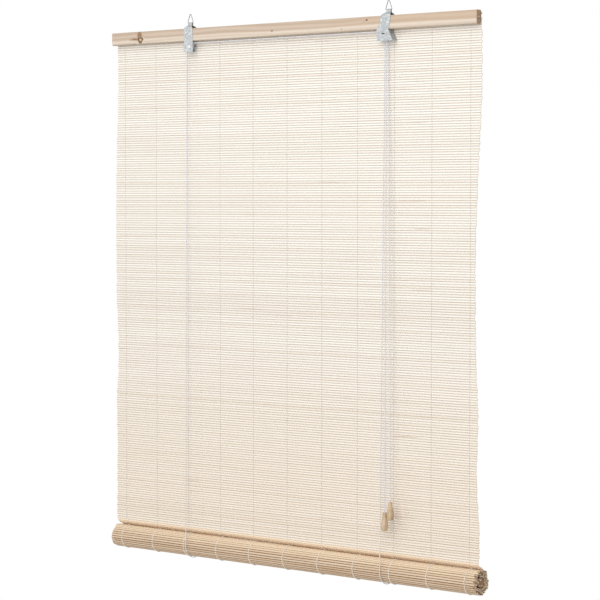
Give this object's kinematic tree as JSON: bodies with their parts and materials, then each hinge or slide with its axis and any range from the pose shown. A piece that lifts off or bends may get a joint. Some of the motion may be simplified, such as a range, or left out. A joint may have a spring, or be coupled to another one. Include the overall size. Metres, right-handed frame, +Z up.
{
  "type": "bamboo roll up blind",
  "caption": "Hanging bamboo stick blind on a wooden head rail with wire rings, rolled up in cord loops that run over pulleys to a cord lock and wooden tassels.",
  "frame": {"origin": "midpoint between the two points where the hooks hold the rings, in the plane of the rings", "axes": "+X to the right along the rail seen from the room, -Y towards the room, +Z up"},
  "size_m": [1, 0.072, 1.1999],
  "materials": {
    "ring_wire": "galvanised wire",
    "galvanised_sheet": "galvanised, satin",
    "nail_steel": "plain steel",
    "roller_brass": "plain",
    "pulley_plastic": "matt",
    "rail_wood": "unfinished, with knots",
    "bamboo": "split, unfinished",
    "tassel_wood": "turned, satin",
    "thread": "cotton",
    "cord": "braided cotton"
  },
  "bodies": {
    "hanging_rings": {"left_hanging_ring": "ring_wire", "right_hanging_ring": "ring_wire"},
    "blind": {"head_rail": "rail_wood", "left_bracket": "galvanised_sheet", "lock_bracket": "galvanised_sheet", "bracket_nails": "nail_steel", "left_pulley_rivet": "nail_steel", "lock_pulley_pin": "nail_steel", "hanging_mat": "bamboo", "warp_threads": "thread", "mat_staples": "nail_steel", "cord_anchor_nails": "nail_steel", "back_cord_knots": "cord", "left_front_cord": "cord", "right_front_cord": "cord", "left_back_cord": "cord", "right_back_cord": "cord", "crossing_cord": "cord", "lock_turn_cord": "cord", "left_pull_cord": "cord", "right_pull_cord": "cord"},
    "left_pulley": {"left_pulley": "pulley_plastic"},
    "front_lock_pulley": {"front_lock_pulley": "pulley_plastic"},
    "rear_lock_pulley": {"rear_lock_pulley": "pulley_plastic"},
    "lock_roller": {"lock_roller": "roller_brass"},
    "cord_bends": {"left_cord_bend": "cord", "right_cord_bend": "cord"},
    "roll": {"rolled_mat": "bamboo", "bottom_batten": "rail_wood"},
    "left_tassel": {"left_tassel": "tassel_wood", "left_tassel_knot": "cord"},
    "right_tassel": {"right_tassel": "tassel_wood", "right_tassel_knot": "cord"}
  },
  "joints": [
    {"name": "swing", "type": "hinge", "parent": "hanging_rings", "child": "blind", "pos_m": [0, 0, -0.01861], "axis": [1, 0, 0], "range_deg": [-60, 60]},
    {"name": "lift", "type": "slide", "parent": "blind", "child": "cord_bends", "axis": [0, 0, 1], "range_m": [0, 1.0178], "deforming": ["hanging_mat", "warp_threads", "left_front_cord", "right_front_cord", "left_back_cord", "right_back_cord"]},
    {"name": "roll_turn", "type": "hinge", "parent": "cord_bends", "child": "roll", "pos_m": [0, 0.01785, -1.16861], "axis": [1, 0, 0], "range_deg": [-2160, 0]},
    {"name": "left_pulley_turn", "type": "hinge", "parent": "blind", "child": "left_pulley", "pos_m": [-0.2725, 0, -0.07026], "axis": [0, 1, 0], "continuous": true},
    {"name": "front_lock_pulley_turn", "type": "hinge", "parent": "blind", "child": "front_lock_pulley", "pos_m": [0.264, 0, -0.06686], "axis": [0, 1, 0], "continuous": true},
    {"name": "rear_lock_pulley_turn", "type": "hinge", "parent": "blind", "child": "rear_lock_pulley", "pos_m": [0.264, 0, -0.06686], "axis": [0, 1, 0], "continuous": true},
    {"name": "lock_roller_slide", "type": "slide", "parent": "blind", "child": "lock_roller", "axis": [0.4087, 0, -0.9127], "range_m": [0, 0.0104]},
    {"name": "left_tassel_pull", "type": "slide", "parent": "blind", "child": "left_tassel", "axis": [0, 0, 1], "range_m": [-2.0357, 0], "deforming": ["left_pull_cord"]},
    {"name": "right_tassel_pull", "type": "slide", "parent": "blind", "child": "right_tassel", "axis": [0, 0, 1], "range_m": [-2.0357, 0], "deforming": ["right_pull_cord"]}
  ],
  "couplings": [
    {"joint": "roll_turn", "follows": "lift", "rad_per_m": -37.037},
    {"joint": "left_pulley_turn", "follows": "lift", "rad_per_m": 245.4},
    {"joint": "front_lock_pulley_turn", "follows": "lift", "rad_per_m": 421.05},
    {"joint": "rear_lock_pulley_turn", "follows": "lift", "rad_per_m": 421.05},
    {"joint": "left_tassel_pull", "follows": "lift", "ratio": -2},
    {"joint": "right_tassel_pull", "follows": "lift", "ratio": -2}
  ]
}
